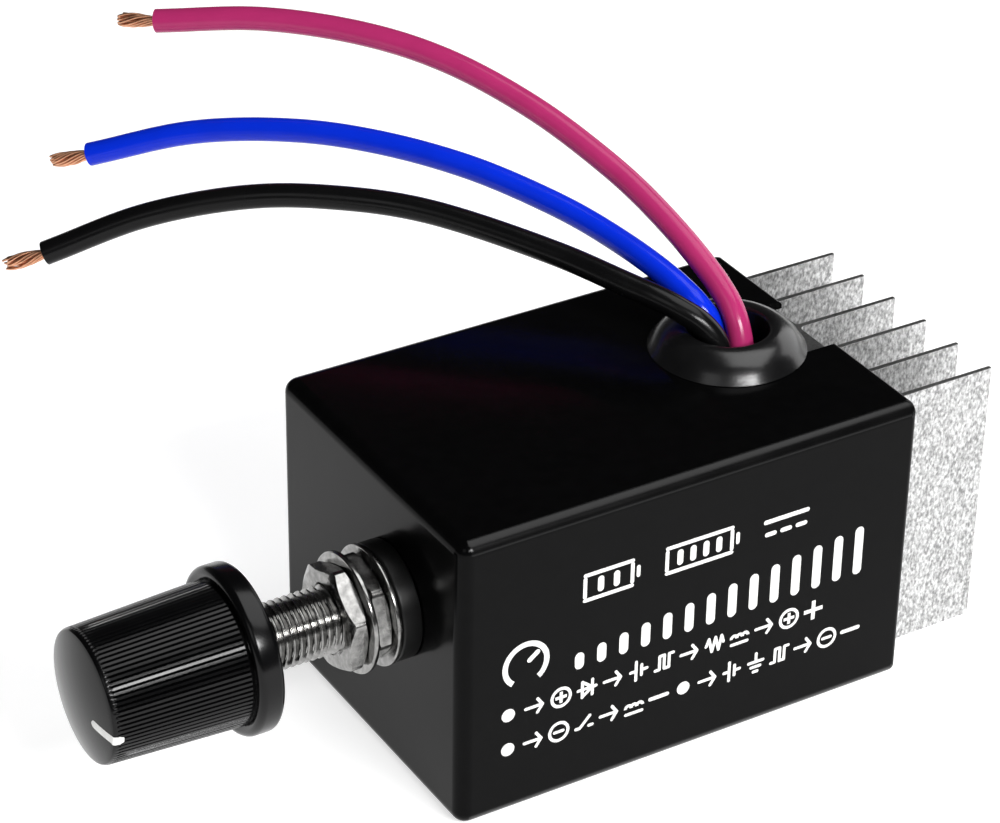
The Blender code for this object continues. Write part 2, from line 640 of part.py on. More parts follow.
for i, (x, y) in enumerate(((-1.6, 5.6), (-1.6, 8.4), (17.6, -12.2))):
    name = "resistor_%d" % (i + 1)
    resistor = rod(name, "x", (y, BOARD_TOP + 1.4), x - 3.1, x + 3.1, 1.15, ((0.62, 0.5, 0.34), 0.55), 16)
    resistor_legs = [(x - 2.6, y), (x + 2.6, y)]
    legs(resistor, name, resistor_legs, BOARD_TOP + 1.4)

for i, (x, y) in enumerate(((16.2, -5.2), (5.6, 2.6))):
    name = "ceramic_capacitor_%d" % (i + 1)
    disc = rod(name, "x", (y, BOARD_TOP + 3.4), x - 0.9, x + 0.9, 2.6, ((0.6, 0.3, 0.08), 0.45), 20)
    legs(disc, name, [(x, y - 1.5), (x, y + 1.5)], BOARD_TOP + 2.8)

small = rod("small_transistor", "z", (19.6, -8.4), BOARD_TOP + 1.8, BOARD_TOP + 6.6, 2.4, EPOXY, 20)
boolean(small, box("cut_flat", (20.9, 23.0), (-12.0, -5.0), (BOARD_TOP, BOARD_TOP + 8)))
legs(small, "small_transistor", [(19.6, -8.4 + i * 1.3) for i in (-1, 0, 1)], BOARD_TOP + 2.6, 0.22)

boolean(board, make_object("cut_board_holes", mesh_from("cut_board_holes", board_holes)))

# leads through the grommet, each with a bare stranded end
LEAD_LOOKS = {
    "red": ((0.55, 0.03, 0.13), 0.4),
    "blue": ((0.01, 0.05, 0.6), 0.4),
    "black": ((0.012, 0.012, 0.013), 0.35),
}
for name, route in LEAD_ROUTES.items():
    line = smooth_route(route, LEAD_POINTS)
    tube(name + "_lead", line, LEAD_RADIUS, LEAD_LOOKS[name])
    ahead = (line[-1] - line[-2]).normalized()
    bare = [line[-1] + ahead * (0.1 + STRAND_LENGTH * i / 2) for i in range(3)]
    tube(name + "_strands", bare, STRAND_RADIUS, COPPER)
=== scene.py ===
"""Electronic speed controller: the looks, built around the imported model.

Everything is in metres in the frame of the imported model: +X runs from the knob to the
heat sink, +Z is up and the marked side of the housing faces -Y. Shapes are written in
millimetres and scaled by MM. Pieces on the control axis are turned about it, and their
heights run outward from the front wall of the housing.
"""
import json
import math
import random

import bmesh
import bpy
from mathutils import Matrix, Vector


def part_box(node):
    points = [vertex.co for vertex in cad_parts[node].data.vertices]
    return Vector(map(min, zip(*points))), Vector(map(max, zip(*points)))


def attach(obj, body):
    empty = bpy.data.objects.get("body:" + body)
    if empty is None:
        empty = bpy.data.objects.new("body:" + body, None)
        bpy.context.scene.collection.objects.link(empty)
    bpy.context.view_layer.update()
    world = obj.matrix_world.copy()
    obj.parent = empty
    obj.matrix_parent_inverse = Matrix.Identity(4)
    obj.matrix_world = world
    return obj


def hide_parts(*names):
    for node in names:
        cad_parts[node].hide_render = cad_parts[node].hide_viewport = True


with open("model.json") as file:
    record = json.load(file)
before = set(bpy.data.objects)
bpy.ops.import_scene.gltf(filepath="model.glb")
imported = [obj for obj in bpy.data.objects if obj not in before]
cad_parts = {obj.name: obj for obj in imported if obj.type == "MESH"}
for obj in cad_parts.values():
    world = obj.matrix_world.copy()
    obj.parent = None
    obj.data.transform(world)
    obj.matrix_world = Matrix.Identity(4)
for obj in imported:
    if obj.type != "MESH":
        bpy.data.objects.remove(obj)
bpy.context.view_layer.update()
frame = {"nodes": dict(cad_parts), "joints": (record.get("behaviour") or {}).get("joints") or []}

MM = 0.001
TAU = 2 * math.pi
CREASE = 35.0

HOUSE_LOW, HOUSE_HIGH = (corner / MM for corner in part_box("housing"))
AXIS = Vector(frame["joints"][0]["pos_m"]) / MM
SINK_LOW, SINK_HIGH = (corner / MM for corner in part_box("heat_sink"))


# ---------------------------------------------------------------- camera
CAMERA_PLACE = (-0.15159, -0.24855, 0.21217)
CAMERA_TURN = (58.5, -0.76, -30.847)
CAMERA_LENS = 124.889
CAMERA_FRAME = 36.0


def make_camera():
    """The product-shot view, slightly above the marked side and the knob."""
    lens = bpy.data.cameras.new("camera")
    lens.sensor_width = CAMERA_FRAME
    lens.lens = CAMERA_LENS
    camera = bpy.data.objects.new("camera", lens)
    camera.location = CAMERA_PLACE
    camera.rotation_euler = [math.radians(turn) for turn in CAMERA_TURN]
    bpy.context.scene.collection.objects.link(camera)
    bpy.context.scene.camera = camera


make_camera()


# ---------------------------------------------------------------- materials
NOISE_SPAN = (0.3, 0.7)


def surface(name, colour, roughness, metallic=0.0, mottle=0.12, mottle_size=1.5, contrast=NOISE_SPAN,
            swing=0.06, swing_size=6.0, relief=0.01, relief_size=0.25, stretch=(1.0, 1.0, 1.0), **fixed):
    """A procedural finish. Sizes are in millimetres.

    The colour swings by the mottle share between darker and lighter patches, more
    sharply the narrower the contrast. The roughness swings by the swing, and the relief
    is the height of the finest grain. Values in fixed are set on the shader's sockets of
    those names.
    """
    made = bpy.data.materials.new(name)
    made.use_nodes = True
    tree = made.node_tree
    shader = tree.nodes["Principled BSDF"]
    shader.inputs["Metallic"].default_value = metallic
    for key, value in fixed.items():
        shader.inputs[key.replace("_", " ")].default_value = value

    place = tree.nodes.new("ShaderNodeTexCoord")
    scale = tree.nodes.new("ShaderNodeMapping")
    scale.inputs["Scale"].default_value = stretch
    tree.links.new(place.outputs["Object"], scale.inputs["Vector"])

    def noise(size, detail, seed):
        """The output of a noise texture with features of a size in millimetres."""
        made_noise = tree.nodes.new("ShaderNodeTexNoise")
        made_noise.noise_dimensions = "4D"
        made_noise.inputs["W"].default_value = seed
        made_noise.inputs["Scale"].default_value = 1.0 / (size * MM)
        made_noise.inputs["Detail"].default_value = detail
        tree.links.new(scale.outputs["Vector"], made_noise.inputs["Vector"])
        return made_noise.outputs["Fac"]

    patches = tree.nodes.new("ShaderNodeValToRGB")
    patches.color_ramp.elements[0].position = contrast[0]
    patches.color_ramp.elements[1].position = contrast[1]
    dark = [c * (1 - mottle) for c in colour]
    light = [min(1.0, c * (1 + mottle)) for c in colour]
    patches.color_ramp.elements[0].color = (*dark, 1.0)
    patches.color_ramp.elements[1].color = (*light, 1.0)
    tree.links.new(noise(mottle_size, detail=4.0, seed=1.0), patches.inputs["Fac"])
    tree.links.new(patches.outputs["Color"], shader.inputs["Base Color"])

    polish = tree.nodes.new("ShaderNodeMapRange")
    polish.inputs["From Min"].default_value = NOISE_SPAN[0]
    polish.inputs["From Max"].default_value = NOISE_SPAN[1]
    polish.inputs["To Min"].default_value = max(0.02, roughness - swing)
    polish.inputs["To Max"].default_value = min(1.0, roughness + swing)
    tree.links.new(noise(swing_size, detail=3.0, seed=5.0), polish.inputs["Value"])
    tree.links.new(polish.outputs["Result"], shader.inputs["Roughness"])

    grain = tree.nodes.new("ShaderNodeBump")
    grain.inputs["Distance"].default_value = relief * MM
    tree.links.new(noise(relief_size, detail=2.0, seed=9.0), grain.inputs["Height"])
    tree.links.new(grain.outputs["Normal"], shader.inputs["Normal"])
    return made


LOOKS = {
    "housing_black": surface("gloss_black_plastic", (0.0015, 0.0015, 0.0016), 0.17, mottle=0.2,
                             swing=0.05, swing_size=9.0, relief=0.006, relief_size=2.2,
                             Specular_IOR_Level=0.07),
    "housing_edge": surface("buffed_black_edge", (0.0015, 0.0015, 0.0016), 0.24, mottle=0.2, swing=0.03,
                            relief=0.004, relief_size=2.0, Specular_IOR_Level=0.22),
    "knob_black": surface("satin_black_plastic", (0.0015, 0.0015, 0.0017), 0.2, mottle=0.15, swing=0.03,
                          relief=0.003, Specular_IOR_Level=0.24),
    "pointer_white": surface("white_ink", (0.83, 0.83, 0.81), 0.45, mottle=0.05, relief=0.01,
                             relief_size=0.2),
    "rubber_grey": surface("black_rubber", (0.005, 0.005, 0.0053), 0.22, mottle=0.15, swing=0.06,
                           relief=0.006, relief_size=0.4),
    "spacer_black": surface("spacer_nylon", (0.003, 0.003, 0.003), 0.36, relief=0.005,
                            Specular_IOR_Level=0.2),
    "nickel": surface("bright_nickel", (0.28, 0.278, 0.272), 0.2, 1.0, mottle=0.35, mottle_size=0.8,
                      swing=0.08, swing_size=1.5, relief=0.006, relief_size=0.3),
    "aluminium": surface("blasted_aluminium", (0.56, 0.56, 0.56), 0.5, 1.0, mottle=0.48, mottle_size=0.28,
                         contrast=(0.36, 0.64), swing=0.08, swing_size=1.2, relief=0.015, relief_size=0.3,
                         stretch=(1.0, 1.0, 0.6)),
    "sawn": surface("sawn_aluminium", (0.5, 0.5, 0.5), 0.3, 1.0, mottle=0.2, mottle_size=0.3, swing=0.04,
                    relief=0.01, relief_size=0.3),
    "steel": surface("zinc_steel", (0.55, 0.55, 0.54), 0.34, 1.0, mottle=0.1),
    "brass": surface("plain_brass", (0.68, 0.5, 0.24), 0.3, 1.0, mottle=0.12),
    "tin": surface("tinned_metal", (0.66, 0.66, 0.67), 0.32, 1.0, mottle=0.1),
    "copper": surface("bare_copper", (0.74, 0.38, 0.23), 0.34, 1.0, mottle=0.22, mottle_size=0.6,
                      relief=0.006),
    "board_green": surface("solder_mask", (0.02, 0.11, 0.035), 0.38, mottle=0.12, mottle_size=3.0),
    "epoxy_black": surface("moulded_epoxy", (0.02, 0.02, 0.021), 0.55, mottle=0.15, relief_size=0.15),
    "phenolic": surface("phenolic_board", (0.24, 0.11, 0.045), 0.6, mottle=0.2),
    "nylon_white": surface("natural_nylon", (0.78, 0.77, 0.72), 0.5, mottle=0.04),
    "pad_grey": surface("silicone_pad", (0.5, 0.52, 0.5), 0.65, mottle=0.06, relief_size=0.4),
    "sleeve_blue": surface("capacitor_sleeve", (0.02, 0.03, 0.1), 0.35, mottle=0.08),
    "resistor_tan": surface("resistor_lacquer", (0.5, 0.37, 0.2), 0.42, mottle=0.08),
    "ceramic_brown": surface("ceramic_coat", (0.5, 0.2, 0.04), 0.4, mottle=0.1),
    "lead_red": surface("red_pvc", (0.41, 0.025, 0.13), 0.2, mottle=0.06, mottle_size=4.0, relief=0.006,
                        relief_size=0.6, Specular_IOR_Level=0.25),
    "lead_blue": surface("blue_pvc", (0.002, 0.027, 0.66), 0.2, mottle=0.05, mottle_size=4.0, relief=0.006,
                         relief_size=0.6, Specular_IOR_Level=0.2),
    "lead_black": surface("black_pvc", (0.003, 0.003, 0.0032), 0.26, mottle=0.12, mottle_size=4.0,
                          relief=0.006, relief_size=0.6, Specular_IOR_Level=0.2),
}


def place_piece(piece, body, slot, *stands_for):
    """Dress a piece from its slot, put it on its body and let it stand for CAD nodes."""
    piece.data.materials.append(LOOKS[slot])
    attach(piece, body)
    if stands_for:
        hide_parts(*stands_for)
    return piece


# ---------------------------------------------------------------- mesh helpers
def add_object(name, data):
    """Link a datablock as an object at the origin."""
    piece = bpy.data.objects.new(name, data)
    bpy.context.scene.collection.objects.link(piece)
    return piece


def mesh_object(name, bm, crease=CREASE):
    """An object from a bmesh in millimetres, its faces outward and its creases sharp."""
    if bm.calc_volume(signed=True) < 0:
        bmesh.ops.reverse_faces(bm, faces=bm.faces)
    bmesh.ops.scale(bm, vec=(MM, MM, MM), verts=bm.verts)
    data = bpy.data.meshes.new(name)
    bm.to_mesh(data)
    bm.free()
    data.shade_smooth()
    data.set_sharp_from_angle(angle=math.radians(crease))
    return add_object(name, data)


def skin(bm, rings, closed=False):
    """Faces between neighbouring rings of points; a ring of one point is a tip."""
    rows = [[bm.verts.new(p) for p in ring] for ring in rings]
    pairs = list(zip(rows, rows[1:]))
    if closed:
        pairs.append((rows[-1], rows[0]))
    for a, b in pairs:
        count = max(len(a), len(b))
        for i in range(count):
            j = (i + 1) % count
            if len(a) == 1:
                bm.faces.new((a[0], b[j], b[i]))
            elif len(b) == 1:
                bm.faces.new((a[i], a[j], b[0]))
            else:
                bm.faces.new((a[i], a[j], b[j], b[i]))


def axial(radius, height, angle):
    """The point at a radius and angle about the control axis, at a height off the front wall."""
    return Vector((AXIS.x - height, AXIS.y + radius * math.cos(angle), AXIS.z + radius * math.sin(angle)))


def arc(centre_r, centre_h, radius, start, end, count):
    """Profile points on an arc, its angles in degrees from outward towards the top."""
    points = []
    for i in range(count):
        a = math.radians(start + (end - start) * i / (count - 1))
        points.append((centre_r + radius * math.cos(a), centre_h + radius * math.sin(a)))
    return points


def turned(name, profile, steps=96, at=axial, crease=CREASE):
    """A turned piece: a closed profile of (radius, height), or one that ends on the axis."""
    rings = []
    for r, h in profile:
        rings.append([at(r, h, TAU * i / steps) for i in range(steps)] if r > 0 else [at(0.0, h, 0.0)])
    bm = bmesh.new()
    skin(bm, rings, closed=profile[0][0] > 0)
    return mesh_object(name, bm, crease)


def add_block(bm, x, y, z):
    """Add a box spanning three (low, high) ranges to a bmesh."""
    for v in bmesh.ops.create_cube(bm, size=1.0)["verts"]:
        v.co = Vector((x[v.co.x > 0], y[v.co.y > 0], z[v.co.z > 0]))


def add_rod(bm, along, centre, low, high, radius, steps=48):
    """Add a rod along x or z to a bmesh; centre holds the two other coordinates."""
    made = bmesh.ops.create_cone(bm, cap_ends=True, segments=steps, radius1=radius, radius2=radius,
                                 depth=high - low)["verts"]
    mid = (low + high) / 2
    for v in made:
        a, b, c = v.co
        if along == "x":
            v.co = Vector((c + mid, a + centre[0], b + centre[1]))
        else:
            v.co = Vector((a + centre[0], b + centre[1], c + mid))


def combine(piece, bm, operation="DIFFERENCE"):
    """Cut a piece with the shape in a bmesh, or join that shape to it."""
    cutter = mesh_object("cutter", bm)
    step = piece.modifiers.new("combine", "BOOLEAN")
    step.operation = operation
    step.solver = "EXACT"
    step.object = cutter
    bake(piece)
    bpy.data.objects.remove(cutter, do_unlink=True)


def bake(piece):
    """Replace a piece's mesh with its modified shape."""
    graph = bpy.context.evaluated_depsgraph_get()
    data = bpy.data.meshes.new_from_object(piece.evaluated_get(graph), depsgraph=graph)
    piece.modifiers.clear()
    piece.data = data


def even_normals(piece, crease=CREASE):
    """Shade the large flat faces flat and their rounded edges smooth."""
    piece.data.shade_smooth()
    piece.data.set_sharp_from_angle(angle=math.radians(crease))
    step = piece.modifiers.new("normals", "WEIGHTED_NORMAL")
    step.keep_sharp = True
    step.weight = 80


# ---------------------------------------------------------------- leads
LEAD_DIAMETER = 0.0026
LEAD_SAMPLES = 40
ROUTE_STEPS = 40
LEAD_ROUTES = {
    "red": ((0.0273, -0.0009, 0.0080), (0.0274, -0.0014, 0.0200), (0.0278, -0.0014, 0.0290),
            (0.0281, -0.0002, 0.0336), (0.0282, 0.0018, 0.0366), (0.0275, 0.0063, 0.0399),
            (0.0256, 0.0148, 0.0442), (0.0235, 0.0209, 0.0469), (0.0202, 0.0282, 0.0499),
            (0.0153, 0.0369, 0.0526), (0.0099, 0.0446, 0.0538), (0.0020, 0.0537, 0.0538),
            (-0.0067, 0.0622, 0.0521)),
    "blue": ((0.0264, 0.0023, 0.0080), (0.0268, 0.0020, 0.0200), (0.0275, 0.0017, 0.0290),
             (0.0271, 0.0022, 0.0330), (0.0256, 0.0035, 0.0364), (0.0242, 0.0083, 0.0386),
             (0.0212, 0.0176, 0.0408), (0.0181, 0.0236, 0.0422), (0.0137, 0.0308, 0.0435),
             (0.0080, 0.0394, 0.0439), (0.0021, 0.0470, 0.0434), (-0.0059, 0.0558, 0.0413),
             (-0.0147, 0.0637, 0.0373)),
    "black": ((0.0242, -0.0007, 0.0080), (0.0246, -0.0011, 0.0200), (0.0251, -0.0012, 0.0300),
              (0.0252, -0.0007, 0.0336), (0.0241, 0.0005, 0.0362), (0.0218, 0.0031, 0.0381),
              (0.0189, 0.0078, 0.0392), (0.0150, 0.0150, 0.0403), (0.0064, 0.0268, 0.0420),
              (-0.0002, 0.0333, 0.0422), (-0.0072, 0.0393, 0.0414), (-0.0164, 0.0458, 0.0386),
              (-0.0259, 0.0512, 0.0340)),
}


def smooth_route(points, count):
    """Evenly spaced points on a centripetal curve through the route points, and its length."""
    pts = [Vector(p) for p in points]
    ends = [pts[0] * 2 - pts[1]] + pts + [pts[-1] * 2 - pts[-2]]
    dense = []
    for i in range(1, len(ends) - 2):
        p0, p1, p2, p3 = ends[i - 1:i + 3]
        knots = [0.0]
        for a, b in ((p0, p1), (p1, p2), (p2, p3)):
            knots.append(knots[-1] + (b - a).length ** 0.5)
        t0, t1, t2, t3 = knots
        for k in range(ROUTE_STEPS):
            t = t1 + (t2 - t1) * k / ROUTE_STEPS
            a1 = p0 * ((t1 - t) / (t1 - t0)) + p1 * ((t - t0) / (t1 - t0))
            a2 = p1 * ((t2 - t) / (t2 - t1)) + p2 * ((t - t1) / (t2 - t1))
            a3 = p2 * ((t3 - t) / (t3 - t2)) + p3 * ((t - t2) / (t3 - t2))
            b1 = a1 * ((t2 - t) / (t2 - t0)) + a2 * ((t - t0) / (t2 - t0))
            b2 = a2 * ((t3 - t) / (t3 - t1)) + a3 * ((t - t1) / (t3 - t1))
            dense.append(b1 * ((t2 - t) / (t2 - t1)) + b2 * ((t - t1) / (t2 - t1)))
    dense.append(pts[-1])
    lengths = [0.0]
    for a, b in zip(dense, dense[1:]):
        lengths.append(lengths[-1] + (b - a).length)
    picked = []
    j = 0
    for i in range(count):
        want = lengths[-1] * i / (count - 1)
        while j < len(lengths) - 2 and lengths[j + 1] < want:
            j += 1
        picked.append(dense[j].lerp(dense[j + 1], (want - lengths[j]) / (lengths[j + 1] - lengths[j])))
    return picked, lengths[-1]


def insulated_lead(name, line):
    """The insulation as a smooth round curve through the points."""
    data = bpy.data.curves.new(name, "CURVE")
    data.dimensions = "3D"
    data.bevel_depth = LEAD_DIAMETER / 2
    data.bevel_resolution = 8
    data.resolution_u = 6
    data.use_fill_caps = True
    spline = data.splines.new("BEZIER")
    spline.bezier_points.add(len(line) - 1)
    for point, p in zip(spline.bezier_points, line):
        point.co = p
        point.handle_left_type = point.handle_right_type = "AUTO"
    return add_object(name, data)


STRAND_REACH = 4.6
STRAND_WIRE = 0.15
STRAND_LAY = 11.0
STRAND_LAYERS = ((0, 1, 0.0), (1, 6, 0.45), (2, 11, 0.95))
STRAND_SPANS = 14
STRAND_SIDES = 8
STRAND_ROOT = 0.24
STRAND_BULGE = 0.42
STRAND_HIDDEN = 0.4


def bare_strands(name, tip, ahead, seed):
    """Twisted copper wires that stand out of the insulation and splay a little at the end."""
    rng = random.Random(seed)
    side = ahead.cross(Vector((0, 0, 1))).normalized()
    up = side.cross(ahead).normalized()
    drift = side * rng.uniform(-0.4, 0.4) + up * rng.uniform(-0.4, 0.4)
    bm = bmesh.new()
    for layer, count, share in STRAND_LAYERS:
        for k in range(count):
            start = TAU * (k + 0.35 * layer) / count + rng.uniform(-0.12, 0.12)
            reach = STRAND_REACH * rng.uniform(0.78, 1.0)
            splay = rng.uniform(-0.1, 0.22)
            centres = []
            for i in range(STRAND_SPANS + 1):
                t = i / STRAND_SPANS
                spread = share * (STRAND_ROOT + STRAND_BULGE * math.sin(0.8 * math.pi * t) + splay * t * t)
                turn = start + TAU * t * reach / STRAND_LAY
                offset = side * math.cos(turn) * spread + up * math.sin(turn) * spread
                forward = ahead * (t * (reach + 0.5) - STRAND_HIDDEN)
                centres.append(tip / MM + forward + offset + drift * t * t)
            rings = [[centres[0]]]
            for i, c in enumerate(centres):
                along = (centres[min(i + 1, STRAND_SPANS)] - centres[max(i - 1, 0)]).normalized()
                u = along.cross(up).normalized()
                v = along.cross(u)
                wire = STRAND_WIRE * (1.0 if i < STRAND_SPANS else 0.8)
                angles = [TAU * s / STRAND_SIDES for s in range(STRAND_SIDES)]
                rings.append([c + (u * math.cos(a) + v * math.sin(a)) * wire for a in angles])
            rings.append([centres[-1] + (centres[-1] - centres[-2]).normalized() * 0.06])
            skin(bm, rings)
    return mesh_object(name, bm, 60.0)


for seed, (colour, route) in enumerate(LEAD_ROUTES.items()):
    line, reach = smooth_route(route, LEAD_SAMPLES)
    ahead = (line[-1] - line[-2]).normalized()
    lead = insulated_lead(colour + "_insulation", line)
    bare = bare_strands(colour + "_bare_end", line[-1], ahead, seed)
    place_piece(lead, "case", "lead_" + colour, colour + "_lead")
    place_piece(bare, "case", "copper", colour + "_strands")


# ---------------------------------------------------------------- housing
WALL = 2.0
EDGE_RADIUS = 1.5
REAR_EDGE_SHARE = 0.5
MOUTH_DEPTH = 3.6
MOUTH_LIP = 0.95
RAIL = (3.9, 5.9)
RAIL_WIDTH = 1.6
RAIL_GAP = 2.0
BOSS_SIZE = 6.4
BOSS_DEPTH = 7.0
BOSS_GAP = 0.3
PILOT_RADIUS = 1.3
PILOT_START = 1.2
PANEL_HOLE = 3.6
NOTCH_HALF = 5.0
GROMMET = (27.1, 0.8)
HEAD_HEIGHT = 1.4
INTO_WALL = 0.6
INTO_TOP = 0.4
CUT_SPARE = 1.0


def screw_places():
    """(y, z, seat x) of the two heat sink screws, from their CAD boxes."""
    places = []
    for node in ("heat_sink_screw_left", "heat_sink_screw_right"):
        low, high = (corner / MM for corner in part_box(node))
        places.append(((low.y + high.y) / 2, (low.z + high.z) / 2, high.x - HEAD_HEIGHT))
    return places


def make_housing():
    """The moulded box: rounded edges, open rear mouth, board rails, screw bosses and notch."""
    low, high = HOUSE_LOW, HOUSE_HIGH
    bm = bmesh.new()
    add_block(bm, (low.x, high.x), (low.y, high.y), (low.z, high.z))
    weight = bm.edges.layers.float.new("bevel_weight_edge")
    for edge in bm.edges:
        rear = all(v.co.x > high.x - WALL for v in edge.verts)
        edge[weight] = REAR_EDGE_SHARE if rear else 1.0
    housing = mesh_object("housing_shell", bm)
    rounding = housing.modifiers.new("rounding", "BEVEL")
    rounding.width = EDGE_RADIUS * MM
    rounding.segments = 8
    rounding.limit_method = "WEIGHT"
    bake(housing)

    half = high.y - WALL
    inner_front = low.x + WALL
    bm = bmesh.new()
    beyond_rear = high.x + CUT_SPARE
    add_block(bm, (inner_front, beyond_rear), (-half, half), (WALL, high.z - WALL))
    combine(housing, bm)
    bm = bmesh.new()
    mouth = high.y - MOUTH_LIP
    add_block(bm, (high.x - MOUTH_DEPTH, beyond_rear), (-mouth, mouth), (MOUTH_LIP, high.z - MOUTH_LIP))
    combine(housing, bm)

    boss_end = SINK_LOW.x - BOSS_GAP
    in_wall = half + INTO_WALL
    bm = bmesh.new()
    for side in (-1, 1):
        add_block(bm, (inner_front - INTO_WALL, boss_end - RAIL_GAP),
                  sorted((side * (half - RAIL_WIDTH), side * in_wall)), RAIL)
    for y, z, _ in screw_places():
        side = 1 if y > 0 else -1
        add_block(bm, (boss_end - BOSS_DEPTH, boss_end), sorted((y - side * BOSS_SIZE / 2, side * in_wall)),
                  (z - BOSS_SIZE / 2, high.z - WALL + INTO_TOP))
    combine(housing, bm, "UNION")

    bm = bmesh.new()
    add_rod(bm, "x", (AXIS.y, AXIS.z), low.x - CUT_SPARE, inner_front + CUT_SPARE, PANEL_HOLE)
    for y, z, _ in screw_places():
        add_rod(bm, "x", (y, z), boss_end - BOSS_DEPTH + PILOT_START, boss_end + CUT_SPARE, PILOT_RADIUS, 24)
    combine(housing, bm)

    notch_z = (high.z - WALL - CUT_SPARE, high.z + CUT_SPARE)
    bm = bmesh.new()
    add_rod(bm, "z", GROMMET, *notch_z, NOTCH_HALF, 64)
    combine(housing, bm)
    bm = bmesh.new()
    add_block(bm, (GROMMET[0], beyond_rear), (GROMMET[1] - NOTCH_HALF, GROMMET[1] + NOTCH_HALF), notch_z)
    combine(housing, bm)
    even_normals(housing)
    return housing


def polish_long_edges(housing):
    """The long rounded edges are shinier than the flat walls."""
    housing.data.materials.append(LOOKS["housing_edge"])
    for face in housing.data.polygons:
        slopes = min(abs(face.normal.y), abs(face.normal.z)) > 0.12
        runs_along = abs(face.normal.x) < 0.2
        if slopes and runs_along and abs(face.center.y) > (HOUSE_HIGH.y - EDGE_RADIUS) * MM:
            face.material_index = 1


polish_long_edges(place_piece(make_housing(), "case", "housing_black", "housing"))


# ---------------------------------------------------------------- marks on the housing
INK_PROUD = 0.03
INK_SINK = 0.02
INK_STEP = 0.002
INK_STEPS = 11
SYMBOL_LINE = 0.34
SYMBOL_SQUEEZE = 0.8
SYMBOL_START = 5.4
SUPPLY_ROW = 24.0
SPEED_ROW = 17.4
SIGN_LINE = 0.5
BATTERY_LINE = 0.42
BATTERY_CELL_LINE = 0.7
BAR_COUNT = 14
BAR_PITCH = 2.55
BAR_WIDTH = 1.05
BAR_RISE = 0.29


def ink(bm, outline):
    """A flat ink shape from its outline of (along, up) points on the marked face.

    Strokes that cross stand at slightly different heights, so no two share a plane.
    """
    step = INK_STEP * (len(bm.faces) % INK_STEPS)
    front = HOUSE_LOW.y - INK_PROUD - step
    back = HOUSE_LOW.y + INK_SINK + step
    rows = [[bm.verts.new((HOUSE_LOW.x + u, y, v)) for u, v in outline] for y in (front, back)]
    bm.faces.new(rows[0])
    bm.faces.new(list(reversed(rows[1])))
    count = len(outline)
    for i in range(count):
        j = (i + 1) % count
        bm.faces.new((rows[0][j], rows[0][i], rows[1][i], rows[1][j]))


def stroke(bm, start, end, width, steps=8):
    """A straight stroke with round ends."""
    (u0, v0), (u1, v1) = start, end
    facing = math.atan2(v1 - v0, u1 - u0)
    outline = []
    for (u, v), base in ((end, facing - math.pi / 2), (start, facing + math.pi / 2)):
        for i in range(steps + 1):
            a = base + math.pi * i / steps
            outline.append((u + math.cos(a) * width / 2, v + math.sin(a) * width / 2))
    ink(bm, outline)


def curve_stroke(bm, centre, radius, start, end, width, steps=40):
    """A stroke along an arc; the angles are in degrees."""
    inner, outer = [], []
    for i in range(steps + 1):
        a = math.radians(start + (end - start) * i / steps)
        for reach, points in ((radius - width / 2, inner), (radius + width / 2, outer)):
            points.append((centre[0] + reach * math.cos(a), centre[1] + reach * math.sin(a)))
    ink(bm, outer + inner[::-1])


def disc(bm, centre, radius, steps=32):
    """A filled round dot."""
    angles = [TAU * i / steps for i in range(steps)]
    ink(bm, [(centre[0] + radius * math.cos(a), centre[1] + radius * math.sin(a)) for a in angles])


def plus(bm, centre, size, width):
    """An upright cross."""
    a, b = size / 2, width / 2
    corners = ((a, -b), (a, b), (b, b), (b, a), (-b, a), (-b, b), (-a, b), (-a, -b), (-b, -b), (-b, -a),
               (b, -a), (b, -b))
    ink(bm, [(centre[0] + u, centre[1] + v) for u, v in corners])


def battery(bm, left, middle, size, cells):
    """A battery outline with its cells as bars."""
    width, height = size
    right = left + width

    def upright(u, half, line):
        stroke(bm, (u, middle - half), (u, middle + half), line)

    for v in (middle - height / 2, middle + height / 2):
        stroke(bm, (left, v), (right, v), BATTERY_LINE)
    for u in (left, right):
        upright(u, height / 2 - BATTERY_LINE, BATTERY_LINE)
    upright(right + 0.7, height / 6, BATTERY_LINE)
    for i in range(cells):
        upright(left + width * (i + 1) / (cells + 1), height / 2 - 0.9, BATTERY_CELL_LINE)


def path_stroke(bm, u, v, points):
    """A thin line through points around (u, v)."""
    for (a, b), (c, d) in zip(points, points[1:]):
        stroke(bm, (u + SYMBOL_SQUEEZE * a, v + b), (u + SYMBOL_SQUEEZE * c, v + d), SYMBOL_LINE)


def thin_ring(bm, u, v):
    """A thin circle, not quite closed so that its outline stays one loop."""
    curve_stroke(bm, (u, v), 1.05, 0, 359.9, SYMBOL_LINE)


def ring_mark(upright):
    """A circle with a minus in it, or a plus."""
    def draw(bm, u, v):
        thin_ring(bm, u, v)
        if upright:
            plus(bm, (u, v), 1.3, SYMBOL_LINE)
        else:
            stroke(bm, (u - 0.5, v), (u + 0.5, v), SYMBOL_LINE)
    return draw


def lines(*paths):
    """A symbol made of thin lines."""
    def draw(bm, u, v):
        for points in paths:
            path_stroke(bm, u, v, points)
    return draw


def coil(bm, u, v):
    """Three humps on a line."""
    for i in (-1, 0, 1):
        curve_stroke(bm, (u + 0.66 * i, v - 0.2), 0.36, 0, 180, SYMBOL_LINE, 14)
    path_stroke(bm, u, v, [(-1.2, -0.9), (1.2, -0.9)])


